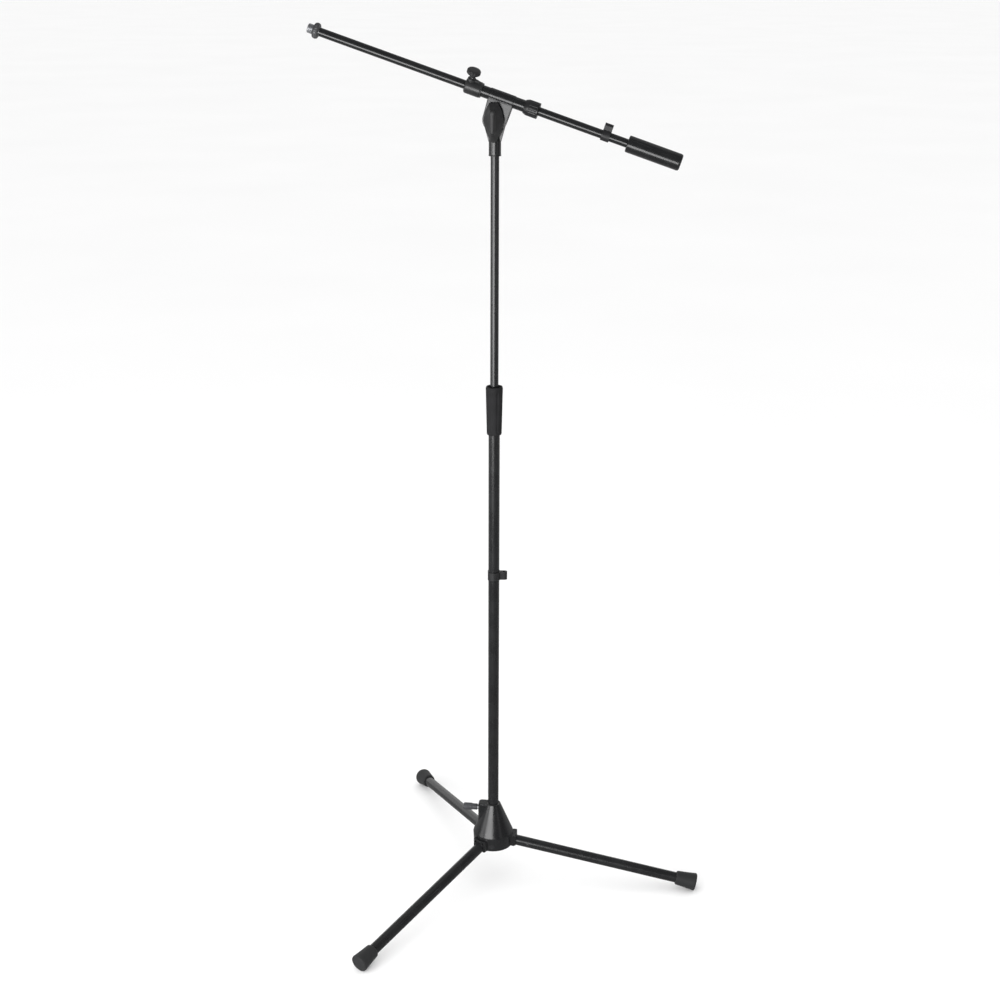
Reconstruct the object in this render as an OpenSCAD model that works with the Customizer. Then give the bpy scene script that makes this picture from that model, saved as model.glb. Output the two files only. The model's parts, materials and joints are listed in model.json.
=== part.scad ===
// Boom microphone stand: folding tripod base, two-piece telescopic column with a
// grip clutch, swivel head and a one-piece sliding boom with a counterweight.
// Millimetres, +Z up, floor at z = 0. Every module draws its part in place.

/* [Column] */
// Outside diameter of the lower column tube
lower_tube_d = 20; // [19:0.5:21]
// Outside diameter of the upper column tube
upper_tube_d = 14.5; // [13.5:0.5:15]
// Wall of the column and leg tubes
tube_wall = 1.25; // [1:0.05:1.5]
// Height of the lower tube's bottom end above the floor
lower_tube_base = 66; // [60:1:70]
// Height of the lower tube's top end above the floor
lower_tube_top = 950; // [900:5:1000]
// Length of the upper column tube
upper_tube_length = 760; // [650:10:800]
// Height of the boom pivot above the floor
pivot_height = 1440.6; // [1380:0.2:1500]
// Height of the middle of the lower cable clip
clip_height = 629; // [560:1:700]

/* [Base] */
// Outside diameter of a leg tube
leg_tube_d = 19.6; // [18:0.2:20]
// Horizontal distance from the column axis to the end of a foot
foot_reach = 392; // [360:0.5:420]
// Height of the leg axis at the end of a foot
foot_height = 15.2; // [14.8:0.1:15.5]
// Height of the leg pivot pins
leg_pin_height = 84; // [82:0.5:86]
// Distance from the column axis to a leg pivot pin
leg_pin_reach = 31; // [30:0.5:32]
// Direction of the right leg, in degrees from +X
leg_azimuth = -7.2; // [-15:0.2:0]

/* [Boom] */
// Outside diameter of the sliding boom rod
rod_d = 14.5; // [13.5:0.5:15]
// Direction of the boom's rear end, in degrees from +X
boom_yaw = -8.4; // [-20:0.2:0]
// Slope of the boom, microphone end up
boom_slope = 18.4; // [10:0.2:30]
// Distance from the pivot to the boom axis
boom_rise = 36.6; // [35:0.2:40]
// Distance from the pivot to the tip of the microphone thread, along the boom
reach_front = 341.2; // [320:0.5:360]
// Distance from the pivot to the end of the counterweight, along the boom
reach_rear = 313.5; // [300:0.5:330]
// Diameter of the counterweight
weight_d = 28.4; // [26:0.2:32]
// Length of the counterweight
weight_length = 94; // [80:1:100]
// Nominal diameter of the microphone thread, 5/8 inch
thread_d = 15.875; // [15.875:5/8 inch]

/* [Swivel] */
// Radius of the pivot discs
disc_r = 20; // [18:0.5:22]
// Widest part of the wing knob
wing_width = 34; // [30:1:38]
// Turn of the thumb screw about the boom, towards the front
thumb_lean = 20; // [0:1:30]

/* [Hidden] */

$fn = 72;
// Radial running clearance between parts that move on each other
run = 0.05;
// How far a cutting shape runs past the face it cuts
over = 1;

// The column stands off the origin, so that the origin is the middle of the footprint
column_x = -40;
column_y = -20;

leg_slope = atan((leg_pin_height - foot_height) / (foot_reach - leg_pin_reach));
leg_length = (foot_reach - leg_pin_reach) / cos(leg_slope);
lower_r = lower_tube_d / 2;
lower_bore_r = lower_r - tube_wall;
upper_r = upper_tube_d / 2;
upper_bore_r = upper_r - tube_wall;
rod_r = rod_d / 2;
rod_wall = 1.25;
leg_r = leg_tube_d / 2;
// Radius of the small pins and rivet shanks in the head
head_pin_r = 1.5;

// Swivel socket, heights measured from the pivot
socket_base = -59.4;
socket_r = 10.3;
socket_depth = 21;
socket_pin_z = socket_base + 12;
bolt_r = 3.95;
tongue_thick = 8;
washer_thick = 0.9;
cheek_thick = 4;
cheek_gap = tongue_thick + 2 * (washer_thick + 0.1);
upper_tube_top = pivot_height + socket_base + socket_depth;
upper_tube_base = upper_tube_top - upper_tube_length;

// Hub casting
hub_wall = 2.8;
hub_top = 159;
hub_crease = 100;
hub_bottom = 74.2;
hub_r = 38.2;
hub_top_r = 13.5;
hub_bore_r = 12;
clamp_azimuth = leg_azimuth + 180;
clamp_height = 148;
boss_reach = 28;
boss_half = 10.5;
insert_r = 5.5;
clamp_screw_r = 4;
clamp_pad_r = 4.1;
slot_w = 21.6;
slot_roof = 94.3;
housing_reach = 45.4;
housing_bottom = 76;
pin_r = 3;
pin_half = 28;

// Legs
head_r = 9.2;
head_w = 20.6;
// Distance from the pivot pin to the start of a leg tube
tube_start = 14;
rivet_x = 38;
rivet_r = 1.6;
foot_length = 39;
foot_r = 16.6;
foot_mouth_r = 11.6;
foot_end_wall = 6;

// Clutch between the column tubes
grip_base = 897;
grip_top = 984;
grip_base_r = 13.2;
grip_top_r = 14.9;
grip_bore_r = 11.7;
collar_r = 11.6;
nut_r = 12.4;
nut_base = grip_base + 8;
nut_top = grip_base + 40;

// Boom stations, measured along the boom from the pivot
nut_front = -reach_front + 9.4;
nut_length = 10.2;
nut_rear = nut_front + nut_length;
lock_nut_r = 13.2;
stud_root_r = thread_d / 2 - 0.55;
rod_front = nut_rear + 0.5;
clamp_front = -64.2;
clamp_rear = -35;
thumb_x = -56.2;
thumb_r = 3;
thumb_base = 9.5;
thumb_length = 18;
sleeve_r = 9.8;
sleeve_wall = 1.2;
sleeve_front = -60.6;
sleeve_rear = 55;
saddle_r = 10.5;
saddle_half = 21.5;
rivet_places = [-14, 14];
collar_front = 39.5;
collar_rear = 64.5;
rod_rear = reach_rear - 8;
weight_front = reach_rear - weight_length;
weight_screw_x = weight_front + 12;
weight_screw_r = 2.5;
clip_x = 182;
liner_r = sleeve_r - sleeve_wall;

// Wing knob, distances in front of the pivot
wing_back = 9.4;
wing_foot = 14.5;
wing_front = 33.5;
wing_nut_r = 6.5;

// ---- placing ----

module at_column() {
    translate([column_x, column_y, 0]) children();
}

// Leg frame: origin on the pivot pin, +X out along the leg, +Z up
module at_leg(number) {
    at_column()
    rotate([0, 0, leg_azimuth + 120 * number])
    translate([leg_pin_reach, 0, leg_pin_height])
    rotate([0, leg_slope, 0])
    children();
}

// Hub clamp frame: +X out along the clamp screw from the column axis
module at_hub_clamp() {
    at_column() rotate([0, 0, clamp_azimuth]) translate([0, 0, clamp_height]) children();
}

// Head frame: origin on the pivot, +X towards the boom's rear, +Z up the column
module at_head() {
    at_column() translate([0, 0, pivot_height]) rotate([0, 0, boom_yaw]) children();
}

// Tilted frame: origin on the pivot, +X along the boom towards the rear
module at_bracket() {
    at_head() rotate([0, boom_slope, 0]) children();
}

// Boom frame: +X along the boom axis towards the rear, x = 0 above the pivot
module at_boom() {
    at_bracket() translate([0, 0, boom_rise]) children();
}

// ---- shapes ----

module ring(outer_r, inner_r, z0, z1) {
    translate([0, 0, z0])
    difference() {
        cylinder(r = outer_r, h = z1 - z0);
        translate([0, 0, -over]) cylinder(r = inner_r, h = z1 - z0 + 2 * over);
    }
}

// Revolved solid about +Z from an outline of [radius, height] points
module lathe(outline) {
    rotate_extrude() polygon(outline);
}

// Turns a shape drawn along +Z so that it lies along +X
module along_x() {
    rotate([0, 90, 0]) children();
}

// Turns a shape drawn along +Z so that it lies along -Y, towards the front
module towards_front() {
    rotate([90, 0, 0]) children();
}

// Solid round bar across Y, centred on the XZ plane
module cross_bar(r, length) {
    rotate([90, 0, 0]) cylinder(r = r, h = length, center = true, $fn = 32);
}

module hexagon(across, h) {
    cylinder(r = across / sqrt(3), h = h, $fn = 6);
}

// Grooves cut round a grip, drawn along +Z
module flutes(count, reach, r, z0, z1) {
    for (i = [0 : count - 1])
        rotate([0, 0, i * 360 / count])
        translate([reach, 0, z0])
        cylinder(r = r, h = z1 - z0, $fn = 32);
}

// ---- base ----

// Three open-bottomed housings, in which the leg heads turn
module hub_housings() {
    half = slot_w / 2 + hub_wall;
    chamfer = 2;
    for (i = [0 : 2])
        rotate([0, 0, leg_azimuth + 120 * i])
        translate([0, 0, housing_bottom])
        linear_extrude(slot_roof - housing_bottom + hub_wall)
        polygon([[22, -half], [housing_reach - chamfer, -half],
            [housing_reach, -half + chamfer], [housing_reach, half - chamfer],
            [housing_reach - chamfer, half], [22, half]]);
}

module hub_slots() {
    for (i = [0 : 2])
        rotate([0, 0, leg_azimuth + 120 * i])
        translate([16, -slot_w / 2, hub_bottom - 10])
        cube([40, slot_w, slot_roof - hub_bottom + 10]);
}

module hub_pin_shapes() {
    for (i = [0 : 2])
        rotate([0, 0, leg_azimuth + 120 * i])
        translate([leg_pin_reach, 0, leg_pin_height])
        cross_bar(pin_r, 2 * pin_half);
}

module hub_shell() {
    lathe([[hub_bore_r, hub_top], [hub_top_r, hub_top], [hub_r - 0.4, hub_crease + 1],
        [hub_r, hub_crease - 1], [hub_r - 1.4, hub_bottom], [hub_r - 4.4, hub_bottom],
        [hub_r - 3.4, hub_crease - 3], [22, 121], [16, 121], [16, 80], [hub_bore_r, 80]]);
}

// Block that carries the clamp screw, with its corners cut back
module hub_clamp_boss() {
    module outline(cut) {
        reach = boss_reach - cut;
        half = boss_half - cut;
        corner = 3;
        polygon([[0, -half], [reach - corner, -half], [reach, -half + corner],
            [reach, half - corner], [reach - corner, half], [0, half]]);
    }
    rotate([0, 0, clamp_azimuth]) {
        translate([0, 0, 116]) linear_extrude(hub_top - 117.5) outline(0);
        translate([0, 0, hub_top - 1.6]) linear_extrude(1.8) outline(1.2);
    }
}

module hub_body() {
    color("#17181a")
    at_column()
    difference() {
        union() {
            hub_shell();
            hub_housings();
            difference() {
                hub_clamp_boss();
                translate([0, 0, hub_crease]) cylinder(r1 = 36, r2 = 14, h = 53);
            }
        }
        hub_slots();
        translate([0, 0, 60]) cylinder(r = hub_bore_r, h = 120);
        hub_pin_shapes();
        rotate([0, 0, clamp_azimuth])
        translate([0, 0, clamp_height])
        along_x()
        cylinder(r = insert_r, h = 50);
    }
}

module hub_bush() {
    color("#2b2b2b")
    at_column()
    difference() {
        ring(hub_bore_r, lower_r + run, 82, hub_top - 1);
        rotate([0, 0, clamp_azimuth])
        translate([0, 0, clamp_height])
        along_x()
        cylinder(r = clamp_pad_r + 0.1, h = 20);
    }
}

module leg_pivot_pins() {
    color("#8d9095")
    at_column()
    intersection() {
        hub_pin_shapes();
        cylinder(r = hub_r - 0.9, h = 200);
    }
}

module clamp_insert() {
    color("#b08d4c")
    at_hub_clamp()
    along_x()
    difference() {
        ring(insert_r, clamp_screw_r + run, 14.2, boss_reach - 0.2);
        translate([0, 0, boss_reach - 1.4]) cylinder(r1 = 4, r2 = 5, h = 1.5);
    }
}

// The pad's face is hollowed to the tube and stays clear of it by the running gap
module clamp_pad() {
    color("#b08d4c")
    at_hub_clamp()
    difference() {
        translate([9, 0, 0]) along_x() cylinder(r = clamp_pad_r, h = 5);
        translate([0, 0, -10]) cylinder(r = lower_r + run, h = 20);
    }
}

module clamp_screw() {
    color("#9a9da1")
    at_hub_clamp()
    along_x() {
        translate([0, 0, 14.1]) cylinder(r1 = 3, r2 = clamp_screw_r, h = 1.2);
        translate([0, 0, 15.3]) cylinder(r = clamp_screw_r, h = 32);
    }
}

module clamp_knob() {
    color("#3b3d40")
    at_hub_clamp()
    along_x()
    difference() {
        lathe([[0, 30.5], [5.4, 30.5], [5.9, 31.5], [5.9, 39.5], [6.4, 41], [6.8, 42.5],
            [6.8, 55.5], [5.6, 57], [0, 57]]);
        translate([0, 0, 30]) cylinder(r = clamp_screw_r, h = 17.3);
        flutes(10, 7.9, 1.5, 42, 60);
    }
}

module leg_head(number) {
    pad_x = 5;
    pad_z = 8.6;
    shoulder = 1.5;
    // Leaves the pad 0.1 mm short of the slot's roof when the leg is spread
    pad_h = slot_roof - 0.1 - leg_pin_height - pad_z * cos(leg_slope) + pad_x * sin(leg_slope);
    color("#1d1e20")
    at_leg(number)
    difference() {
        union() {
            translate([0, head_w / 2, 0]) towards_front() cylinder(r = head_r, h = head_w);
            translate([0, -head_w / 2, -head_r])
            cube([tube_start - shoulder, head_w, 2 * head_r]);
            along_x() cylinder(r = leg_r - tube_wall, h = 50);
            translate([tube_start - shoulder, 0, 0]) along_x() cylinder(r = leg_r, h = shoulder);
            translate([pad_x, -6, pad_z]) rotate([0, -leg_slope, 0]) cube([7, 12, pad_h]);
        }
        translate([0, head_w / 2 + over, 0])
        towards_front()
        cylinder(r = pin_r + run, h = head_w + 2 * over);
        translate([rivet_x, 0, 0]) cross_bar(rivet_r, 2 * leg_r + 2 * over);
    }
}

module leg_tube(number) {
    color("#1b1c1e")
    at_leg(number)
    difference() {
        along_x() ring(leg_r, leg_r - tube_wall, tube_start, leg_length - foot_end_wall);
        translate([rivet_x, 0, 0]) cross_bar(rivet_r, 2 * leg_r + 2 * over);
    }
}

// Rubber cap: a flared cup round the tube's end, cut flat where it meets the floor
module leg_foot(number) {
    cap_start = leg_length - foot_length;
    bore_end = leg_length - foot_end_wall;
    above_floor = 3 * foot_reach;
    color("#262729")
    intersection() {
        at_leg(number)
        along_x()
        lathe([[leg_r, cap_start], [foot_mouth_r, cap_start],
            [foot_mouth_r + 1, cap_start + 0.8], [foot_mouth_r + 1.6, cap_start + 3],
            [foot_r - 1.9, cap_start + 20], [foot_r - 0.5, leg_length - 7],
            [foot_r, leg_length - 3.5], [foot_r - 0.6, leg_length - 1.2],
            [foot_r - 2.6, leg_length], [0, leg_length], [0, bore_end], [leg_r, bore_end]]);
        translate([-above_floor / 2, -above_floor / 2, 0]) cube(above_floor);
    }
}

module leg_rivet(number) {
    color("#2f3134")
    at_leg(number)
    translate([rivet_x, 0, 0]) {
        difference() {
            for (side = [-90, 90])
                rotate([side, 0, 0]) translate([0, 0, leg_r - 0.5]) rivet_head(3, 1.5);
            along_x() cylinder(r = leg_r, h = 10, center = true);
        }
        cross_bar(rivet_r, 2 * leg_r + 0.4);
    }
}

module rivet_head(r, h) {
    lathe([[0, 0], [r, 0], [r, h * 0.25], [r * 0.85, h * 0.6], [r * 0.5, h * 0.9], [0, h]]);
}

module leg_head_right() leg_head(0);
module leg_head_rear() leg_head(1);
module leg_head_front() leg_head(2);
module leg_tube_right() leg_tube(0);
module leg_tube_rear() leg_tube(1);
module leg_tube_front() leg_tube(2);
module leg_foot_right() leg_foot(0);
module leg_foot_rear() leg_foot(1);
module leg_foot_front() leg_foot(2);
module leg_rivet_right() leg_rivet(0);
module leg_rivet_rear() leg_rivet(1);
module leg_rivet_front() leg_rivet(2);

// ---- lower column ----

module lower_tube() {
    color("#1b1c1e")
    at_column()
    ring(lower_r, lower_bore_r, lower_tube_base, lower_tube_top);
}

// Plug with a lip that closes the lower tube's bottom end
module lower_tube_plug() {
    color("#242424")
    at_column()
    translate([0, 0, lower_tube_base])
    lathe([[0, -3], [8.4, -3], [9.4, -2], [9.4, 0], [lower_bore_r, 0], [lower_bore_r, 14],
        [6.5, 14], [6.5, 2], [0, 2]]);
}

// Threaded sleeve fixed on the lower tube's top end
module clutch_collar() {
    color("#7c7f83")
    at_column()
    ring(collar_r, lower_r, grip_base + 5, lower_tube_top);
}

// Split plastic collet on top of the tube, which closes on the upper tube
module clutch_collet() {
    color("#3a3a3a")
    at_column()
    difference() {
        translate([0, 0, lower_tube_top])
        lathe([[upper_r + run, 0], [11.4, 0], [11.4, 6], [8.5, 20], [upper_r + run, 20]]);
        for (a = [0, 60, 120])
            rotate([0, 0, a])
            translate([-15, -0.5, lower_tube_top + 4])
            cube([30, 1, 30]);
    }
}

// Metal nut moulded into the grip, running on the collar
module clutch_nut() {
    color("#85888c")
    at_column()
    ring(nut_r, collar_r + run, nut_base, nut_top);
}

module clutch_grip() {
    // Throat that presses the collet on the upper tube
    neck_r = 8.4;
    facets = 8;
    facet_r = 5;
    color("#202122")
    at_column()
    difference() {
        lathe([[grip_base_r - 0.8, grip_base], [grip_base_r, grip_base + 2],
            [grip_top_r, grip_top - 8], [grip_top_r + 0.2, grip_top - 3],
            [grip_top_r - 0.7, grip_top], [12.6, grip_top], [9.6, grip_top - 7],
            [neck_r, grip_top - 9], [neck_r, grip_top - 11], [grip_bore_r, grip_top - 26],
            [grip_bore_r, nut_top], [nut_r, nut_top], [nut_r, nut_base],
            [grip_bore_r, nut_base], [grip_bore_r, grip_base + 3],
            [lower_r + 0.2, grip_base + 3], [lower_r + 0.2, grip_base]]);
        for (i = [0 : facets - 1])
            rotate([0, 0, (i + 0.5) * 360 / facets])
            translate([0, 0, grip_base + 5])
            rotate([0, 1.1, 0])
            translate([grip_base_r + facet_r - 0.7, 0, 0])
            cylinder(r = facet_r, h = grip_top - grip_base - 14, $fn = 48);
    }
}

// Cable clip: an open snap ring with a rounded cable hook, drawn along +Z
module clip_shape(tube_r, ring_r, hook_reach, length) {
    hook_r = 4.5;
    cable_r = 2.6;
    mouth = 1.1 * tube_r;
    difference() {
        union() {
            cylinder(r = ring_r, h = length, center = true);
            translate([ring_r - 3, -hook_r, -length / 2])
            cube([hook_reach - ring_r - 1.5, 2 * hook_r, length]);
            translate([hook_reach - hook_r, 0, 0])
            cylinder(r = hook_r, h = length, center = true);
        }
        cylinder(r = tube_r + run, h = length + 2 * over, center = true);
        // Mouth that snaps over the tube
        translate([-ring_r - 2, -mouth / 2, -length]) cube([ring_r, mouth, 2 * length]);
        // Hole that holds the cable
        translate([hook_reach - 6, 0, 0])
        cylinder(r = cable_r, h = length + 2 * over, center = true);
    }
}

module lower_cable_clip() {
    color("#1e1f20")
    at_column()
    translate([0, 0, clip_height])
    clip_shape(lower_r, 12.3, 24.2, 15);
}

// ---- upper column ----

module guide_plug() {
    color("#4a4a4a")
    at_column()
    translate([0, 0, upper_tube_base])
    lathe([[0, -14], [8, -14], [lower_bore_r - run, -13], [lower_bore_r - run, -1.5],
        [8, -0.1], [upper_bore_r - run, -0.1], [upper_bore_r - run, 16], [4.5, 18],
        [0, 18]]);
}

module upper_tube() {
    color("#1b1c1e")
    at_column()
    difference() {
        ring(upper_r, upper_bore_r, upper_tube_base, upper_tube_top);
        rotate([0, 0, boom_yaw])
        translate([0, 14, pivot_height + socket_pin_z])
        towards_front()
        cylinder(r = head_pin_r, h = 14, $fn = 32);
    }
}

// Tongue outline in the head's XZ plane: a disc with two tangent flanks
module tongue_outline() {
    // Angle at which a flank leaves the disc for the socket's shoulder
    flank = 28;
    circle(r = disc_r);
    polygon([[disc_r * cos(flank), -disc_r * sin(flank)], [socket_r, -36], [-socket_r, -36],
        [-disc_r * cos(flank), -disc_r * sin(flank)]]);
}

module swivel_socket() {
    color("#17181a")
    at_head()
    difference() {
        union() {
            translate([0, tongue_thick / 2, 0])
            towards_front()
            linear_extrude(tongue_thick)
            tongue_outline();
            translate([0, 0, socket_base])
            lathe([[0, 0], [socket_r, 0], [socket_r + 0.4, 0.5], [socket_r + 0.4, 1.6],
                [socket_r, 2.2], [socket_r, 25], [8.5, 33], [0, 35]]);
        }
        translate([0, 0, socket_base - over]) cylinder(r = upper_r, h = socket_depth + over);
        translate([0, 10, 0]) towards_front() cylinder(r = bolt_r + run, h = 20);
        translate([0, 14, socket_pin_z])
        towards_front()
        cylinder(r = head_pin_r, h = 14, $fn = 32);
    }
}

// Pin that holds the socket on the upper tube, driven in from the back
module socket_pin() {
    color("#8d9095")
    at_head()
    translate([0, socket_r - 0.3, socket_pin_z])
    towards_front()
    cylinder(r = head_pin_r, h = socket_r - upper_r + 1, $fn = 32);
}

module pivot_bolt() {
    color("#9a9da1")
    at_head()
    translate([0, 9.3, 0])
    towards_front() {
        translate([0, 0, -5]) hexagon(13, 5);
        cylinder(r = bolt_r, h = 33);
    }
}

module friction_washers() {
    inner = tongue_thick / 2 + 0.05;
    color("#55585c")
    at_head()
    for (y = [inner + washer_thick, -inner])
        translate([0, y, 0]) towards_front() ring(16, bolt_r + run, 0, washer_thick);
}

// ---- swivel bracket and boom sleeve ----

module cheek_outline() {
    circle(r = disc_r);
    polygon([[-disc_r, 0], [disc_r, 0], [saddle_half, boom_rise - 4],
        [-saddle_half, boom_rise - 4]]);
}

module bracket_rivet_holes() {
    for (x = rivet_places)
        translate([x, 16, 0]) towards_front() cylinder(r = head_pin_r, h = 14, $fn = 32);
}

module boom_bracket() {
    color("#17181a")
    at_bracket()
    difference() {
        union() {
            for (y = [cheek_gap / 2 + cheek_thick, -cheek_gap / 2])
                translate([0, y, 0])
                towards_front()
                linear_extrude(cheek_thick)
                cheek_outline();
            translate([-saddle_half, 0, boom_rise])
            along_x()
            cylinder(r = saddle_r, h = 2 * saddle_half);
            translate([-saddle_half, -8, boom_rise - 12]) cube([2 * saddle_half, 16, 6]);
        }
        translate([-saddle_half - over, 0, boom_rise])
        along_x()
        cylinder(r = sleeve_r, h = 2 * (saddle_half + over));
        translate([0, 12, 0]) towards_front() cylinder(r = bolt_r + 0.1, h = 24);
        translate([0, 0, boom_rise]) bracket_rivet_holes();
    }
}

module boom_sleeve() {
    color("#1b1c1e")
    at_boom()
    difference() {
        along_x() ring(sleeve_r, liner_r, sleeve_front, sleeve_rear);
        bracket_rivet_holes();
        translate([thumb_x, 0, 0]) rotate([thumb_lean, 0, 0]) cylinder(r = thumb_r + 0.1, h = 20);
    }
}

// Two rivets at the back that hold the sleeve in the bracket
module bracket_rivets() {
    color("#2f3134")
    at_boom()
    for (x = rivet_places)
        translate([x, 0, 0]) {
            difference() {
                rotate([-90, 0, 0]) translate([0, 0, saddle_r - 0.4]) rivet_head(2.6, 1.3);
                along_x() cylinder(r = saddle_r, h = 10, center = true);
            }
            rotate([-90, 0, 0])
            translate([0, 0, liner_r + 0.1])
            cylinder(r = head_pin_r, h = 2, $fn = 32);
        }
}

module front_clamp() {
    length = clamp_rear - clamp_front;
    clamp_r = 12.9;
    boss_base = 6.5;
    boss_top = 15;
    rib = 6;
    color("#1c1d1f")
    at_boom()
    difference() {
        union() {
            translate([clamp_front, 0, 0])
            along_x()
            lathe([[6, 0], [clamp_r - 1.5, 0], [clamp_r, 2.2], [clamp_r, length - 2.8],
                [clamp_r - 0.7, length - 2], [clamp_r - 0.7, length], [6, length]]);
            rotate([thumb_lean, 0, 0]) {
                translate([thumb_x, 0, boss_base]) cylinder(r = 7, h = boss_top - boss_base);
                translate([thumb_x, rib / 2, 0])
                towards_front()
                linear_extrude(rib)
                polygon([[0, boss_base], [0, boss_top - 0.4], [8.5, boss_top - 0.4],
                    [18.5, 12], [18.5, boss_base]]);
            }
        }
        translate([clamp_front - 1, 0, 0]) along_x() cylinder(r = rod_r + 0.4, h = 40);
        translate([sleeve_front, 0, 0]) along_x() cylinder(r = sleeve_r, h = 40);
        translate([thumb_x, 0, 0])
        rotate([thumb_lean, 0, 0])
        cylinder(r = thumb_r + run, h = 30);
    }
}

// Plastic liner between the sleeve and the rod, with a window for the clamp tip
module front_liner() {
    color("#3a3a3a")
    at_boom()
    difference() {
        along_x() ring(liner_r, rod_r + run, sleeve_front, -30);
        translate([thumb_x, 0, 0]) rotate([thumb_lean, 0, 0]) cylinder(r = thumb_r + 0.1, h = 20);
    }
}

module clamp_tip() {
    color("#b08d4c")
    at_boom()
    difference() {
        translate([thumb_x, 0, 0])
        rotate([thumb_lean, 0, 0])
        translate([0, 0, 6])
        cylinder(r = thumb_r, h = 3.4);
        translate([thumb_x - 10, 0, 0]) along_x() cylinder(r = rod_r + run, h = 20);
    }
}

module thumb_screw() {
    color("#9a9da1")
    at_boom()
    translate([thumb_x, 0, 0])
    rotate([thumb_lean, 0, 0])
    translate([0, 0, thumb_base])
    cylinder(r = thumb_r, h = thumb_length);
}

module thumb_knob() {
    knob_r = 11.6;
    color("#232426")
    at_boom()
    translate([thumb_x, 0, 0])
    rotate([thumb_lean, 0, 0])
    difference() {
        lathe([[0, 17], [5, 17], [5, 22], [knob_r - 1.4, 23], [knob_r, 24.5], [knob_r, 29],
            [knob_r - 1, 30.5], [7.5, 31.2], [0, 31.4]]);
        translate([0, 0, thumb_base]) cylinder(r = thumb_r, h = thumb_length);
        flutes(14, 12.5, 1.5, 20, 35);
    }
}

module rear_collar() {
    color("#1e1f21")
    at_boom()
    along_x()
    difference() {
        lathe([[sleeve_r + run, collar_front], [11, collar_front],
            [12.9, collar_front + 4.5], [13.3, collar_front + 6], [13.3, collar_rear - 0.8],
            [12.7, collar_rear], [rod_r + 0.5, collar_rear],
            [rod_r + 0.5, collar_rear - 3], [sleeve_r + run, collar_rear - 5.5]]);
        flutes(16, 14.9, 2, collar_front + 8, collar_rear - 2.5);
    }
}

// Plastic bush between the sleeve and the rod, which turns with the rod
module rear_bush() {
    bush_r = liner_r - run;
    color("#3a3a3a")
    at_boom()
    along_x()
    lathe([[rod_r + run, 30], [bush_r, 30], [bush_r, sleeve_rear + 0.2],
        [9.4, sleeve_rear + 0.2], [9.4, sleeve_rear + 3], [rod_r + run, sleeve_rear + 3]]);
}

// ---- wing knob ----

// Front outline of the wing, long end down
module wing_outline() {
    hull() {
        translate([-8, 22]) square([16, 6]);
        for (side = [-1, 1]) {
            translate([side * 4.8, 13]) circle(r = 9, $fn = 32);
            translate([side * (wing_width / 2 - 9), 0]) circle(r = 9, $fn = 32);
            translate([side * 4.8, -14]) circle(r = 9, $fn = 32);
        }
        translate([0, -29.5]) circle(r = 6.5, $fn = 32);
    }
}

module wing_knob() {
    color("#202123")
    at_head()
    difference() {
        union() {
            translate([0, -wing_back, 0]) towards_front() cylinder(r = 11, h = 6);
            translate([0, -wing_foot, 0])
            towards_front()
            hull() {
                linear_extrude(6) wing_outline();
                // Ridge between the two finger hollows
                for (z = [-22, 17])
                    translate([0, z, 0])
                    cylinder(r = 4.5, h = wing_front - wing_foot, $fn = 32);
            }
        }
        translate([0, -9, 0]) towards_front() cylinder(r = wing_nut_r, h = 11.6);
        // Room for the bolt's end
        translate([0, -20, 0]) towards_front() cylinder(r = 4, h = 4);
    }
}

module wing_knob_nut() {
    color("#85888c")
    at_head()
    translate([0, -wing_back - 0.1, 0])
    towards_front()
    ring(wing_nut_r, bolt_r + run, 0, 11);
}

// ---- boom rod ----

module boom_rod() {
    color("#1b1c1e")
    at_boom()
    along_x()
    ring(rod_r, rod_r - rod_wall, rod_front, rod_rear);
}

module thread_stud() {
    thread_r = thread_d / 2;
    chamfer = 0.8;
    free_end = -reach_front + chamfer;
    color("#b9bbbd")
    at_boom()
    along_x() {
        // Free end, on which a microphone holder screws
        translate([0, 0, free_end]) cylinder(r = thread_r, h = nut_front - run - free_end);
        translate([0, 0, -reach_front])
        cylinder(r1 = thread_r - chamfer, r2 = thread_r, h = chamfer);
        // Root under the lock nut, and the shank fixed in the rod
        translate([0, 0, nut_front - run])
        cylinder(r = stud_root_r, h = rod_front - nut_front + run);
        translate([0, 0, rod_front]) cylinder(r = rod_r - rod_wall, h = 24);
    }
}

module lock_nut() {
    color("#2a2b2d")
    at_boom()
    along_x()
    difference() {
        lathe([[stud_root_r + run, nut_front], [lock_nut_r - 3.7, nut_front],
            [lock_nut_r - 1.2, nut_front + 1.2], [lock_nut_r, nut_front + 3.6],
            [lock_nut_r, nut_rear - 3.6], [lock_nut_r - 1.2, nut_rear - 1.2],
            [lock_nut_r - 3.7, nut_rear], [stud_root_r + run, nut_rear]]);
        flutes(20, lock_nut_r + 0.8, 1.3, nut_front - over, nut_rear + over);
    }
}

module counterweight() {
    weight_r = weight_d / 2;
    color("#1f2022")
    at_boom()
    difference() {
        along_x()
        lathe([[rod_r, weight_front], [weight_r - 2, weight_front],
            [weight_r - 0.6, weight_front + 0.6], [weight_r, weight_front + 2],
            [weight_r, reach_rear - 3.5],
            [weight_r - 1, reach_rear - 1], [weight_r - 3.5, reach_rear],
            [5, reach_rear], [5, rod_rear + 2], [rod_r, rod_rear + 2]]);
        translate([weight_screw_x, 0, -weight_r - over])
        cylinder(r = weight_screw_r, h = weight_r);
    }
}

// Headless screw that holds the counterweight on the rod
module weight_screw() {
    reach = weight_d / 2 - 0.7;
    color("#8d9095")
    at_boom()
    translate([weight_screw_x, 0, -reach])
    difference() {
        cylinder(r = weight_screw_r, h = reach - rod_r - 0.03);
        translate([0, 0, -over]) hexagon(2.5, 3);
    }
}

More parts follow.
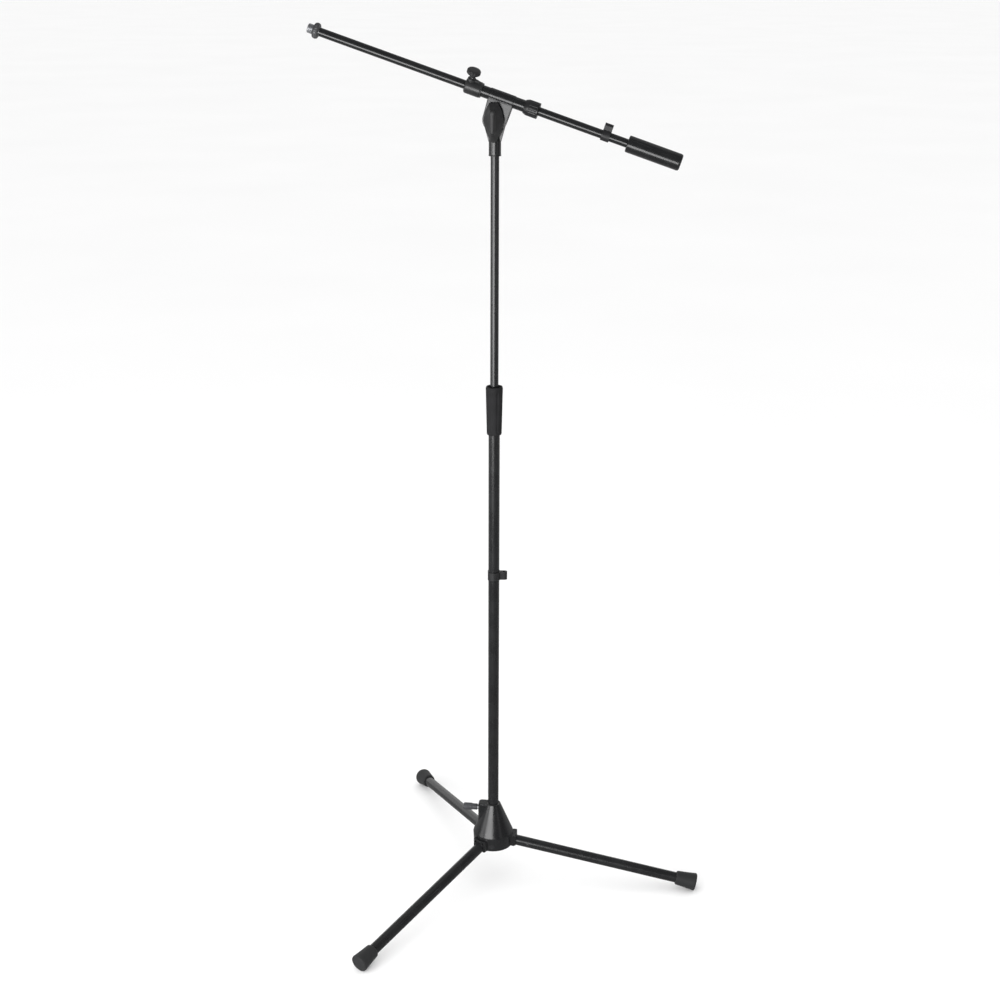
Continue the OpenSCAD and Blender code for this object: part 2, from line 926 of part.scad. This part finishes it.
module rod_end_cap() {
    color("#2b2b2b")
    at_boom()
    along_x()
    lathe([[0, rod_rear - 12], [rod_r - rod_wall, rod_rear - 12], [rod_r - rod_wall, rod_rear],
        [rod_r - 0.2, rod_rear], [rod_r - 0.2, rod_rear + 1.8], [0, rod_rear + 1.8]]);
}

module boom_cable_clip() {
    color("#1e1f20")
    at_boom()
    translate([clip_x, 0, 0])
    along_x()
    rotate([0, 0, 180])
    clip_shape(rod_r, 9.9, 20.2, 14);
}

hub_body();
hub_bush();
leg_pivot_pins();
clamp_insert();
clamp_pad();
clamp_screw();
clamp_knob();
leg_head_right();
leg_head_rear();
leg_head_front();
leg_tube_right();
leg_tube_rear();
leg_tube_front();
leg_foot_right();
leg_foot_rear();
leg_foot_front();
leg_rivet_right();
leg_rivet_rear();
leg_rivet_front();
lower_tube();
lower_tube_plug();
clutch_collar();
clutch_collet();
clutch_nut();
clutch_grip();
lower_cable_clip();
guide_plug();
upper_tube();
swivel_socket();
socket_pin();
pivot_bolt();
friction_washers();
boom_bracket();
boom_sleeve();
bracket_rivets();
front_clamp();
front_liner();
wing_knob();
wing_knob_nut();
thumb_screw();
thumb_knob();
clamp_tip();
rear_collar();
rear_bush();
boom_rod();
thread_stud();
lock_nut();
counterweight();
weight_screw();
rod_end_cap();
boom_cable_clip();
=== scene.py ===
"""Looks of the boom microphone stand: materials, threads, wing knob, light and camera."""

import json
import math

import bmesh
import bpy
from mathutils import Matrix, Vector


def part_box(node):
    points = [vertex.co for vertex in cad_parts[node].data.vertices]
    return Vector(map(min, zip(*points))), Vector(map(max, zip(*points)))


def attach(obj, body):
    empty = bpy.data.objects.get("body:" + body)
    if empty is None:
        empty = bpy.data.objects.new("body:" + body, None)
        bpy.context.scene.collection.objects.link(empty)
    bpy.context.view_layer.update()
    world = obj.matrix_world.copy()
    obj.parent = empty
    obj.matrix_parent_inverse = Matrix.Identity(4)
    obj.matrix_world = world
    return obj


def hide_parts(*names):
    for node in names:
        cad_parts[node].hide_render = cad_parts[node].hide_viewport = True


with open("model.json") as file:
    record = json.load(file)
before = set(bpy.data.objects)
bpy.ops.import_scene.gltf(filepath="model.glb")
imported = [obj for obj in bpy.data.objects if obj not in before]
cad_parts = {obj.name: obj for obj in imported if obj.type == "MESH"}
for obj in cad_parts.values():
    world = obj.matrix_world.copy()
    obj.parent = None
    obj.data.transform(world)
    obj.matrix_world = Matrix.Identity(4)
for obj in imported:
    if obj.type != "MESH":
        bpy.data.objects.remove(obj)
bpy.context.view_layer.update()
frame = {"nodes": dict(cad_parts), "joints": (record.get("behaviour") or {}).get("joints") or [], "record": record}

MM = 0.001
INCH = 25.4 * MM
UP = Vector((0, 0, 1))
SIDES = ("right", "rear", "front")
AROUND = 72  # points round a turned part


# ---- frame ----


def column_axis():
    """The column's axis on the floor."""
    low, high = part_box("lower_tube")
    return Vector(((low.x + high.x) / 2, (low.y + high.y) / 2, 0))


def joint(name):
    """A joint of the frame, by name."""
    return next(j for j in frame["joints"] if j["name"] == name)


def leg_direction(side):
    """Along a leg tube, from the hub outwards."""
    pivot = Vector(joint("leg_fold_" + side)["pos_m"])
    low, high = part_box("leg_foot_" + side)
    return (low + high) / 2 - pivot


def axes_along(direction):
    """Rotation that takes Z to a direction, and X as near to the frame's Y as it can be."""
    across = Vector((0, 1, 0))
    z = Vector(direction).normalized()
    x = (across - z * across.dot(z)).normalized()
    return Matrix((x, z.cross(x), z)).transposed()


# ---- node helpers ----


class Nodes:
    """Short calls for building the node tree of a material or of the world."""

    def __init__(self, owner):
        owner.use_nodes = True
        self.owner = owner
        self.tree = owner.node_tree
        self.tree.nodes.clear()

    def add(self, kind, **settings):
        node = self.tree.nodes.new(kind)
        for key, value in settings.items():
            setattr(node, key, value)
        return node

    def link(self, source, target):
        self.tree.links.new(source, target)

    def put(self, socket, value):
        """Sets an input from a number, a colour or another node's output."""
        if isinstance(value, bpy.types.NodeSocket):
            self.link(value, socket)
        elif isinstance(value, (tuple, list)) and socket.type == "RGBA":
            socket.default_value = (*value[:3], 1)
        else:
            socket.default_value = value

    def math(self, operation, a, b=0.0, c=0.0):
        """The result of a sum or product of up to three values."""
        node = self.add("ShaderNodeMath", operation=operation)
        for socket, value in zip(node.inputs, (a, b, c)):
            self.put(socket, value)
        return node.outputs[0]

    def mix(self, factor, a, b):
        """A colour between two. Inputs 6 and 7 and output 2 are the node's colour sockets."""
        node = self.add("ShaderNodeMix", data_type="RGBA")
        self.put(node.inputs["Factor"], factor)
        self.put(node.inputs[6], a)
        self.put(node.inputs[7], b)
        return node.outputs[2]

    def blend_numbers(self, factor, a, b):
        """A number between two. Inputs 0, 2 and 3 are the node's number sockets."""
        node = self.add("ShaderNodeMix")
        for socket, value in zip((node.inputs[0], node.inputs[2], node.inputs[3]), (factor, a, b)):
            self.put(socket, value)
        return node.outputs[0]

    def spread(self, value, low, high, to_low, to_high):
        """A value taken from one range to another, and held to its ends."""
        node = self.add("ShaderNodeMapRange")
        for socket, number in zip(node.inputs, (value, low, high, to_low, to_high)):
            self.put(socket, number)
        return node.outputs[0]

    def noise(self, where, scale, detail=3.0, roughness=0.5):
        node = self.add("ShaderNodeTexNoise")
        self.put(node.inputs["Vector"], where)
        self.put(node.inputs["Scale"], scale)
        self.put(node.inputs["Detail"], detail)
        self.put(node.inputs["Roughness"], roughness)
        return node.outputs["Fac"]

    def mottle(self, blotch, color, dark, light):
        """A colour that wanders with a soft noise between a darker and a lighter shade of it."""
        return self.mix(self.spread(blotch, 0.35, 0.65, 0, 1), shade_of(color, dark),
                        shade_of(color, light))

    def gloss(self, blotch, smoothest, roughest):
        """A roughness that wanders with a soft noise."""
        return self.spread(blotch, 0.3, 0.7, smoothest, roughest)

    def where(self, direction=None, stretch=1.0):
        """Object coordinates, turned so that direction is Z, and stretched along it."""
        source = self.add("ShaderNodeTexCoord").outputs["Object"]
        if direction is None:
            return source
        node = self.add("ShaderNodeMapping", vector_type="POINT")
        turn = axes_along(direction).transposed()
        node.inputs["Rotation"].default_value = turn.to_euler()
        self.link(source, node.inputs["Vector"])
        squeeze = self.add("ShaderNodeVectorMath", operation="MULTIPLY")
        self.link(node.outputs[0], squeeze.inputs[0])
        squeeze.inputs[1].default_value = (1, 1, 1 / stretch)
        return squeeze.outputs[0]

    def edge(self, radius):
        """The normal of a rounded edge, and a mask that is 1 on edges."""
        bevel = self.add("ShaderNodeBevel", samples=6)
        bevel.inputs["Radius"].default_value = radius
        geometry = self.add("ShaderNodeNewGeometry")
        dot = self.add("ShaderNodeVectorMath", operation="DOT_PRODUCT")
        self.link(bevel.outputs[0], dot.inputs[0])
        self.link(geometry.outputs["Normal"], dot.inputs[1])
        on_flat, on_edge = 1.0, 0.9
        mask = self.spread(dot.outputs["Value"], on_flat, on_edge, 0.0, 1.0)
        return bevel.outputs[0], mask

    def bump(self, height, strength, distance, normal=None):
        """A normal roughened by a height, on top of another normal if one is given."""
        node = self.add("ShaderNodeBump")
        self.put(node.inputs["Height"], height)
        self.put(node.inputs["Strength"], strength)
        self.put(node.inputs["Distance"], distance)
        if normal is not None:
            self.link(normal, node.inputs["Normal"])
        return node.outputs[0]

    def finish(self, **inputs):
        """Ends a material with a principled shader, its inputs named with _ for a space."""
        shader = self.add("ShaderNodeBsdfPrincipled")
        for name, value in inputs.items():
            self.put(shader.inputs[name.replace("_", " ")], value)
        output = self.add("ShaderNodeOutputMaterial")
        self.link(shader.outputs[0], output.inputs["Surface"])
        return self.owner


# ---- materials ----


def shade_of(color, share):
    """A colour made darker or lighter by a share."""
    return tuple(min(1, c * share) for c in color)


def tube_paint(name, direction, rough=0.26):
    """Semi-gloss powder coat on a tube: fine orange peel and faint marks along the tube."""
    color, scuffed, worn_edge = (0.0085, 0.0088, 0.0094), (0.06, 0.06, 0.062), (0.09, 0.09, 0.092)
    n = Nodes(bpy.data.materials.new(name))
    along = n.where(direction, stretch=60)
    round_about = n.where()
    blotch = n.noise(round_about, scale=38, detail=4)
    peel = n.noise(round_about, scale=900, detail=2)
    scuff = n.noise(along, scale=700, detail=4, roughness=0.65)
    scuff_mask = n.spread(scuff, 0.60, 0.72, 0, 1)
    shade = n.mottle(blotch, color, 1, 1.35)
    shade = n.mix(n.math("MULTIPLY", scuff_mask, 0.25), shade, scuffed)
    gloss = n.math("ADD", n.gloss(blotch, rough - 0.03, rough + 0.05),
                   n.math("MULTIPLY", scuff_mask, 0.12))
    normal, mask = n.edge(0.4 * MM)
    shade = n.mix(n.math("MULTIPLY", mask, 0.35), shade, worn_edge)
    height = n.math("MULTIPLY_ADD", scuff, 0.3, peel)
    return n.finish(Base_Color=shade, Roughness=gloss, Coat_Weight=0.25, Coat_Roughness=0.16,
                    Normal=n.bump(height, 0.05, 0.03 * MM, normal))


def cast_paint(name, color=(0.0076, 0.0078, 0.0084), rough=0.27, edge_radius=1.3 * MM, wear=0.25):
    """Gloss paint on a casting: soft waviness under a clear top layer, thin on the edges."""
    bare_metal = (0.16, 0.16, 0.165)
    n = Nodes(bpy.data.materials.new(name))
    place = n.where()
    wave = n.noise(place, scale=120, detail=3)
    peel = n.noise(place, scale=650, detail=2)
    blotch = n.noise(place, scale=30, detail=4)
    normal, mask = n.edge(edge_radius)
    flakes = n.noise(place, scale=420, detail=5, roughness=0.7)
    chips = n.math("MULTIPLY", mask, n.spread(flakes, 0.50, 0.62, 0, wear))
    shade = n.mix(chips, n.mottle(blotch, color, 1, 1.4), bare_metal)
    gloss = n.gloss(blotch, rough - 0.03, rough + 0.06)
    height = n.math("MULTIPLY_ADD", wave, 1.6, peel)
    return n.finish(Base_Color=shade, Roughness=gloss, Coat_Weight=0.2, Coat_Roughness=0.2,
                    Normal=n.bump(height, 0.05, 0.05 * MM, normal))


def plastic(name, color, rough, grain=1500, edge_radius=0.6 * MM, shine=0.5):
    """Moulded plastic with a spark-eroded grain, a little polished where hands touch it."""
    n = Nodes(bpy.data.materials.new(name))
    place = n.where()
    fine = n.noise(place, scale=grain, detail=2)
    blotch = n.noise(place, scale=60, detail=4)
    normal, mask = n.edge(edge_radius)
    shade = n.mix(n.math("MULTIPLY", mask, 0.3), n.mottle(blotch, color, 0.85, 1.2),
                  shade_of(color, 1.9))
    gloss = n.math("SUBTRACT", n.gloss(blotch, rough - 0.05, rough + 0.07),
                   n.math("MULTIPLY", mask, 0.12))
    return n.finish(Base_Color=shade, Roughness=gloss, Specular_IOR_Level=shine,
                    Normal=n.bump(fine, 0.35, 0.05 * MM, normal))


def rubber(name):
    """Dull rubber with dust low down, and lighter edges that are partly clinging dust and partly painted sheen."""
    color, dust_and_sheen_color, dust_top = (0.0145, 0.015, 0.016), (0.12, 0.118, 0.112), 14 * MM
    n = Nodes(bpy.data.materials.new(name))
    place = n.where()
    fine = n.noise(place, scale=1100, detail=3)
    dust_and_sheen_noise = n.noise(place, scale=260, detail=6, roughness=0.7)
    normal, mask = n.edge(1.0 * MM)
    height = n.add("ShaderNodeSeparateXYZ")
    n.link(place, height.inputs[0])
    low_down = n.spread(height.outputs["Z"], 0.0, dust_top, 0.5, 0.0)
    # Lighter colour: dust low down, and on the edges dust mixed with painted sheen
    dust_and_sheen = n.math("MULTIPLY", n.spread(dust_and_sheen_noise, 0.45, 0.7, 0, 1),
                   n.math("MAXIMUM", mask, low_down))
    shade = n.mix(n.math("MULTIPLY", dust_and_sheen, 0.5), color, dust_and_sheen_color)
    return n.finish(Base_Color=shade, Roughness=n.gloss(dust_and_sheen_noise, 0.58, 0.74),
                    Specular_IOR_Level=0.4, Sheen_Weight=0.06, Sheen_Roughness=0.5,
                    Normal=n.bump(fine, 0.4, 0.08 * MM, normal))


def turned_metal(name, direction, color, rough=0.3, metallic=1.0):
    """Plated metal turned on a lathe: rings round the axis, darker and duller in random patches."""
    n = Nodes(bpy.data.materials.new(name))
    rings = n.noise(n.where(direction, stretch=0.01), scale=25, detail=3)
    blotch = n.noise(n.where(), scale=300, detail=4)
    normal, mask = n.edge(0.25 * MM)
    dirt = n.math("MULTIPLY", n.spread(blotch, 0.4, 0.7, 0, 1), 0.5)
    shade = n.mix(dirt, color, shade_of(color, 0.45))
    shade = n.mix(n.math("MULTIPLY", mask, 0.4), shade, shade_of(color, 1.3))
    return n.finish(Base_Color=shade, Metallic=metallic,
                    Roughness=n.gloss(blotch, rough, rough + 0.15),
                    Normal=n.bump(rings, 0.2, 0.03 * MM, normal))


def node_materials():
    """The material of every CAD node, by name."""
    boom = -Vector(joint("boom_slide")["axis"])
    made = {}

    def use(material, *nodes):
        for node in nodes:
            made[node] = material

    use(cast_paint("hub_paint"), "hub_body")
    use(cast_paint("head_paint", rough=0.22, edge_radius=0.9 * MM), "swivel_socket")
    use(cast_paint("bracket_paint", rough=0.22, edge_radius=2.4 * MM, wear=0.1), "boom_bracket")
    use(cast_paint("clamp_paint", color=(0.014, 0.0143, 0.015), rough=0.36), "front_clamp")
    use(tube_paint("column_paint", UP), "lower_tube", "upper_tube")
    use(tube_paint("boom_paint", boom, rough=0.21), "boom_rod", "boom_sleeve")
    for side in SIDES:
        use(tube_paint("leg_paint_" + side, leg_direction(side)), "leg_tube_" + side)
        use(made["front_clamp"], "leg_rivet_" + side)
    use(cast_paint("leg_head_paint", (0.011, 0.011, 0.012), rough=0.36, edge_radius=0.8 * MM),
        "leg_head_right", "leg_head_rear", "leg_head_front", "bracket_rivets", "leg_pivot_pins")
    use(rubber("foot_rubber"), "leg_foot_right", "leg_foot_rear", "leg_foot_front")
    use(plastic("grip_plastic", (0.013, 0.013, 0.014), rough=0.7, shine=0.25), "clutch_grip")
    use(plastic("collar_plastic", (0.012, 0.012, 0.013), rough=0.28, edge_radius=0.8 * MM),
        "rear_collar")
    use(plastic("knob_plastic", (0.014, 0.014, 0.015), rough=0.4), "thumb_knob")
    use(plastic("wing_plastic", (0.016, 0.016, 0.0165), rough=0.48), "wing_knob")
    use(plastic("clamp_knob_plastic", (0.04, 0.041, 0.045), rough=0.48), "clamp_knob")
    use(plastic("clip_plastic", (0.012, 0.012, 0.013), rough=0.42, grain=1900),
        "lower_cable_clip", "boom_cable_clip", "rod_end_cap", "lower_tube_plug")
    use(plastic("liner_plastic", (0.16, 0.16, 0.155), rough=0.55), "hub_bush", "clutch_collet",
        "guide_plug", "front_liner", "rear_bush")
    use(plastic("washer_fibre", (0.12, 0.10, 0.09), rough=0.75), "friction_washers")
    use(tube_paint("weight_paint", boom, rough=0.22), "counterweight")
    zinc = (0.58, 0.59, 0.61)
    use(turned_metal("zinc_boom", boom, (0.66, 0.67, 0.69), rough=0.42), "thread_stud")
    use(turned_metal("zinc_plain", UP, zinc), "clutch_collar", "clutch_nut",
        "socket_pin", "weight_screw", "wing_knob_nut", "pivot_bolt", "clamp_screw", "thumb_screw")
    use(turned_metal("nut_metal", boom, (0.12, 0.12, 0.125), rough=0.42, metallic=0.7),
        "lock_nut")
    use(turned_metal("brass_metal", UP, (0.66, 0.48, 0.2), rough=0.3), "clamp_insert", "clamp_pad",
        "clamp_tip")
    return made


# ---- pieces ----


def new_piece(name, bm, material, body, sharp):
    """A piece that rides on a body, smooth but for edges sharper than an angle."""
    mesh = bpy.data.meshes.new(name)
    bmesh.ops.recalc_face_normals(bm, faces=bm.faces)
    bm.to_mesh(mesh)
    bm.free()
    for polygon in mesh.polygons:
        polygon.use_smooth = True
    mesh.set_sharp_from_angle(angle=sharp)
    mesh.materials.append(material)
    piece = bpy.data.objects.new(name, mesh)
    bpy.context.scene.collection.objects.link(piece)
    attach(piece, body)
    return piece


def ring_of_points(bm, place, turn, radius, height):
    """Points round turn's Z at a height above place. The radius may depend on the angle."""
    ring = []
    for i in range(AROUND):
        a = 2 * math.pi * i / AROUND
        r = radius(a) if callable(radius) else radius
        at = Vector((r * math.cos(a), r * math.sin(a), height))
        ring.append(bm.verts.new(place + turn @ at))
    return ring


def join_rings(bm, rings):
    """A closed skin over rings of points, each with as many points as the next."""
    for low, high in zip(rings, rings[1:]):
        count = len(low)
        for i in range(count):
            j = (i + 1) % count
            bm.faces.new((low[i], low[j], high[j], high[i]))
    bm.faces.new(reversed(rings[0]))
    bm.faces.new(rings[-1])


def threaded_rod(bm, place, turn, crest, pitch, length, chamfer):
    """A rod with a real helical thread from place along turn's Z, chamfered at both ends."""
    steps_per_turn = 10
    steps = int(length / pitch * steps_per_turn)
    flat = 0.12  # the share of the ramp that is flat, at the crest as at the root
    depth = 0.54 * pitch
    root = crest - depth

    def radius_at(h):
        from_end = min(h, length - h)
        ceiling = min(crest, root + depth * max(0.0, from_end / chamfer))

        def radius(a):
            phase = (h / pitch - a / (2 * math.pi)) % 1
            ramp = 1 - abs(2 * phase - 1)
            profile = min(1, max(0, (ramp - flat) / (1 - 2 * flat)))
            return min(ceiling, root + depth * profile)

        return radius

    rings = [ring_of_points(bm, place, turn, root, 0)]
    for i in range(1, steps):
        h = length * i / steps
        rings.append(ring_of_points(bm, place, turn, radius_at(h), h))
    rings.append(ring_of_points(bm, place, turn, root, length))
    join_rings(bm, rings)


def plain_rod(bm, place, turn, radius, start, end):
    """A plain rod between two heights above place along turn's Z."""
    join_rings(bm, [ring_of_points(bm, place, turn, radius, h) for h in (start, end)])


def mic_thread(material):
    """The microphone thread, its neck and its shank, in place of the plain stud."""
    mount = next(m for m in frame["record"]["mounts"] if m["name"] == "mic_thread")
    out = Vector(mount["axis"])
    crest, reach = mount["dims"]["r_mm"] * MM, mount["dims"]["length_mm"] * MM
    pitch, chamfer = INCH / 27, 0.8 * MM
    neck, neck_length, overlap = crest - 0.55 * MM, 10.7 * MM, 0.2 * MM
    shank, shank_length = 6 * MM, 24 * MM
    tip = Vector(mount["pos_m"]) + out * (reach / 2 + chamfer)
    turn = axes_along(-out)
    thread_end = reach + chamfer
    neck_end = thread_end + neck_length
    bm = bmesh.new()
    threaded_rod(bm, tip, turn, crest, pitch, thread_end, chamfer)
    plain_rod(bm, tip, turn, neck, thread_end - overlap, neck_end)
    plain_rod(bm, tip, turn, shank, neck_end, neck_end + shank_length)
    piece = new_piece("mic_thread", bm, material, "boom", math.radians(50))
    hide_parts("thread_stud")


def outline_point(circles, angle):
    """Where the tight outline round some circles (x, z, radius) faces in a direction."""
    across, up = math.cos(angle), math.sin(angle)
    x, z, radius = max(circles, key=lambda c: c[0] * across + c[1] * up + c[2])
    return Vector((x + radius * across, z + radius * up))


def wing_piece(material):
    """The wing knob: a plate whose two sides rise to a rounded upright ridge."""
    turn_joint = joint("wing_turn")
    pivot, out = Vector(turn_joint["pos_m"]), Vector(turn_joint["axis"]).normalized()
    side = out.cross(UP).normalized()

    def extent(node, way):
        """The places of a node's vertices along a direction, in millimetres from the pivot."""
        return [(v.co - pivot).dot(way) / MM for v in frame["nodes"][node].data.vertices]

    depths, widths, heights = (extent("wing_knob", way) for way in (out, side, UP))
    back, front, half = min(depths), max(depths), max(widths)
    bottom, top = min(heights), max(heights)

    # Outlines are wrapped round circles (x, z, radius), in millimetres from the pivot
    plate = [(0, bottom + 6, 6)]
    for sign in (-1, 1):
        plate += [(sign * 6.5, top - 1.5, 1.5), (sign * 5, 13, 9), (sign * (half - 9), 0, 9),
                  (sign * 4.6, -14, 9)]
    ridge = [(0, 13, 5.6), (0, -18, 4.7)]
    # The pocket for the nut and the bolt's end, with a little room beyond each
    nut_r, bolt_r = max(extent("wing_knob_nut", side)), 4
    nut_end = max(extent("wing_knob_nut", out)) + 0.1
    bolt_end = max(extent("pivot_bolt", out)) + 0.3

    boss_r, boss_length, plate_thickness = 11, 5.1, 4.5
    plate_back = back + boss_length
    plate_front = plate_back + plate_thickness
    plate_round, ridge_round = 1.4, 4.4
    shoulder = front - ridge_round
    # A flank starts a step in from the plate's edge and steepens a little on the way up
    flank_start, flank_fall, flank_rise = 0.9, 1.1, 1.08
    flank_steps, plate_steps, ridge_steps = 14, 3, 5
    count = 120
    angles = [2 * math.pi * (i + 0.5) / count for i in range(count)]
    bm = bmesh.new()

    def ring(depth, share, inset=0.0, ridge_inset=0.0):
        """A closed outline at a depth: share 1 is the plate's edge and 0 the ridge's."""
        made = []
        for a in angles:
            edge = outline_point([(x, z, radius - inset) for x, z, radius in plate], a)
            crest = outline_point([(x, z, radius - ridge_inset) for x, z, radius in ridge], a)
            at = crest.lerp(edge, share)
            made.append(bm.verts.new(pivot + (side * at.x + UP * at.y + out * depth) * MM))
        return made

    def quarter(step, steps):
        """How far in and how far on a rounded edge is at a step, as shares of its radius."""
        a = math.pi / 2 * step / steps
        return 1 - math.cos(a), 1 - math.sin(a)

    def round_ring(radius, depth):
        """A circle round the pivot at a depth."""
        return [bm.verts.new(pivot + (side * math.cos(a) + UP * math.sin(a)) * radius * MM
                             + out * depth * MM) for a in angles]

    # From the bottom of the pocket out over the boss, round the plate and up the ridge
    rings = [round_ring(*place) for place in (
        (bolt_r, bolt_end), (bolt_r, nut_end), (nut_r, nut_end), (nut_r, back),
        (boss_r, back), (boss_r, plate_back))]
    for step in range(plate_steps, -1, -1):
        inwards, rest = quarter(step, plate_steps)
        rings.append(ring(plate_back + plate_round * rest, 1, plate_round * inwards))
    for step in range(plate_steps + 1):
        inwards, rest = quarter(step, plate_steps)
        rings.append(ring(plate_front - plate_round * rest, 1, plate_round * inwards))
    for step in range(1, flank_steps + 1):
        t = step / flank_steps
        rings.append(ring(plate_front + (shoulder - plate_front) * t ** flank_rise,
                          flank_start * (1 - t) ** flank_fall))
    for step in range(1, ridge_steps + 1):
        inwards, rest = quarter(step, ridge_steps)
        rings.append(ring(front - ridge_round * rest, 0, ridge_inset=ridge_round * inwards))
    join_rings(bm, rings)
    piece = new_piece("wing_grip", bm, material, "wing", math.radians(45))
    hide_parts("wing_knob")


# ---- studio ----


def area_light(name, place, target, width, height, radiance):
    """A rectangular lamp of an even radiance, which the camera doesn't see."""
    light = bpy.data.lights.new(name, "AREA")
    light.shape = "RECTANGLE"
    light.size, light.size_y = width, height
    light.energy = radiance * math.pi * width * height
    lamp = bpy.data.objects.new(name, light)
    lamp.location = place
    lamp.rotation_mode = "QUATERNION"
    lamp.rotation_quaternion = (Vector(target) - Vector(place)).to_track_quat("-Z", "Y")
    lamp.visible_camera = False
    bpy.context.scene.collection.objects.link(lamp)


def from_column(azimuth, distance, height):
    """A point round the column, in degrees and metres: 0 is in front, positive to the right."""
    a = math.radians(azimuth)
    return column_axis() + Vector((math.sin(a) * distance, -math.cos(a) * distance, height))


def pale_floor():
    """A white floor. In reflections it shows a painted glow in place of its lit colour, darker in front of the
    stand than behind it.
    """
    front_y, back_y, front_glow, back_glow = -0.6, 1.6, 0.14, 0.5
    half_size = 60
    n = Nodes(bpy.data.materials.new("floor_white"))
    place = n.where()
    tint = n.noise(place, scale=0.8, detail=2)
    shade = n.mix(tint, (0.86, 0.86, 0.86), (0.9, 0.9, 0.9))
    grain = n.noise(place, scale=900, detail=2)
    material = n.finish(Base_Color=shade, Roughness=0.85, Specular_IOR_Level=0.1,
                        Normal=n.bump(grain, 0.05, 0.1 * MM))
    split = n.add("ShaderNodeSeparateXYZ")
    n.link(place, split.inputs[0])
    # Painted reflection: glossy rays see this glow, not the floor's lit colour
    reflected_glow = n.add("ShaderNodeEmission")
    n.put(reflected_glow.inputs["Strength"], n.spread(split.outputs["Y"], front_y, back_y,
                                            front_glow, back_glow))
    path = n.add("ShaderNodeLightPath")
    choose = n.add("ShaderNodeMixShader")
    output = next(node for node in n.tree.nodes if node.type == "OUTPUT_MATERIAL")
    n.link(path.outputs["Is Glossy Ray"], choose.inputs[0])
    n.link(output.inputs["Surface"].links[0].from_socket, choose.inputs[1])
    n.link(reflected_glow.outputs[0], choose.inputs[2])
    n.link(choose.outputs[0], output.inputs["Surface"])
    bm = bmesh.new()
    bmesh.ops.create_grid(bm, x_segments=2, y_segments=2, size=half_size)
    mesh = bpy.data.meshes.new("floor")
    bm.to_mesh(mesh)
    bm.free()
    mesh.materials.append(material)
    floor = bpy.data.objects.new("floor", mesh)
    bpy.context.scene.collection.objects.link(floor)
    return floor


def lower_floor_with_feet(floor):
    """Keeps the floor under the lowest end of the stand when it is folded."""
    foot_end = 20 * MM
    marks = [("hub", Vector((0, 0, 0)))]
    for side in SIDES:
        along = leg_direction(side)
        pivot = Vector(joint("leg_fold_" + side)["pos_m"])
        marks.append(("leg_" + side, pivot + along + along.normalized() * foot_end))
    tube_end = column_axis()
    tube_end.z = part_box("lower_tube_plug")[0].z
    marks.append(("lower_column", tube_end))
    driver = floor.driver_add("location", 2).driver
    driver.type = "MIN"
    for body, place in marks:
        mark = bpy.data.objects.new("floor_mark_" + body, None)
        mark.location = place
        bpy.context.scene.collection.objects.link(mark)
        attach(mark, body)
        variable = driver.variables.new()
        variable.name = body
        variable.type = "TRANSFORMS"
        variable.targets[0].id = mark
        variable.targets[0].transform_type = "LOC_Z"
        variable.targets[0].transform_space = "WORLD_SPACE"


def studio_world():
    """White round the stand. In reflections only a low band behind the stand is bright."""
    world = bpy.data.worlds.new("studio")
    bpy.context.scene.world = world
    n = Nodes(world)
    split = n.add("ShaderNodeSeparateXYZ")
    n.link(n.add("ShaderNodeTexCoord").outputs["Generated"], split.inputs[0])
    diffuse_light, seen_white, band_glow, dim_glow = 1.12, 1.0, 0.8, 0.08
    behind = n.spread(split.outputs["Y"], 0.0, 0.6, 0.0, 1.0)
    low = n.spread(split.outputs["Z"], 0.3, 0.6, 1.0, 0.0)
    glossy = n.math("MULTIPLY_ADD", n.math("MULTIPLY", behind, low), band_glow, dim_glow)
    path = n.add("ShaderNodeLightPath")
    is_glossy, is_camera = path.outputs["Is Glossy Ray"], path.outputs["Is Camera Ray"]
    strength = n.blend_numbers(is_glossy, diffuse_light, glossy)
    strength = n.blend_numbers(is_camera, strength, seen_white)
    background = n.add("ShaderNodeBackground")
    n.put(background.inputs["Color"], (1, 1, 1))
    n.put(background.inputs["Strength"], strength)
    n.link(background.outputs[0], n.add("ShaderNodeOutputWorld").inputs["Surface"])


def studio_lights():
    """Soft boxes in front and to both sides, which draw the tubes' long highlights."""
    middle = column_axis() + UP * 0.75
    area_light("key_box", from_column(-26, 2.5, 0.78), middle,
               width=2.1, height=1.16, radiance=6.6)
    area_light("left_strip", from_column(-70, 2.5, 0.85), middle,
               width=1.0, height=1.2, radiance=2.7)
    area_light("right_strip", from_column(45, 2.4, 1.0), middle,
               width=0.4, height=1.2, radiance=0.6)
    area_light("top_box", from_column(170, 1.2, 3.4), column_axis(),
               width=2.2, height=2.2, radiance=0.25)


def camera():
    """The view of the photograph: 2.7 m in front of the column, a little above the head."""
    distance, height = 2.7102, 1.7206
    pitch, yaw, roll = 19.257, 0.2256, 0.2214
    data = bpy.data.cameras.new("camera")
    data.sensor_width = 36
    data.lens = 57.689
    cam = bpy.data.objects.new("camera", data)
    turn = (Matrix.Rotation(math.radians(-yaw), 3, "Z")
            @ Matrix.Rotation(math.radians(90 - pitch), 3, "X")
            @ Matrix.Rotation(math.radians(roll), 3, "Z"))
    cam.rotation_euler = turn.to_euler()
    cam.location = column_axis() + Vector((0, -distance, height))
    bpy.context.scene.collection.objects.link(cam)
    bpy.context.scene.camera = cam


# ---- build ----

materials = node_materials()
for node_name, node_material in materials.items():
    node_mesh = frame["nodes"][node_name].data
    node_mesh.materials.clear()
    node_mesh.materials.append(node_material)
mic_thread(materials["thread_stud"])
wing_piece(materials["wing_knob"])
studio_floor = pale_floor()
lower_floor_with_feet(studio_floor)
studio_world()
studio_lights()
camera()
bpy.context.scene.view_settings.view_transform = "Standard"
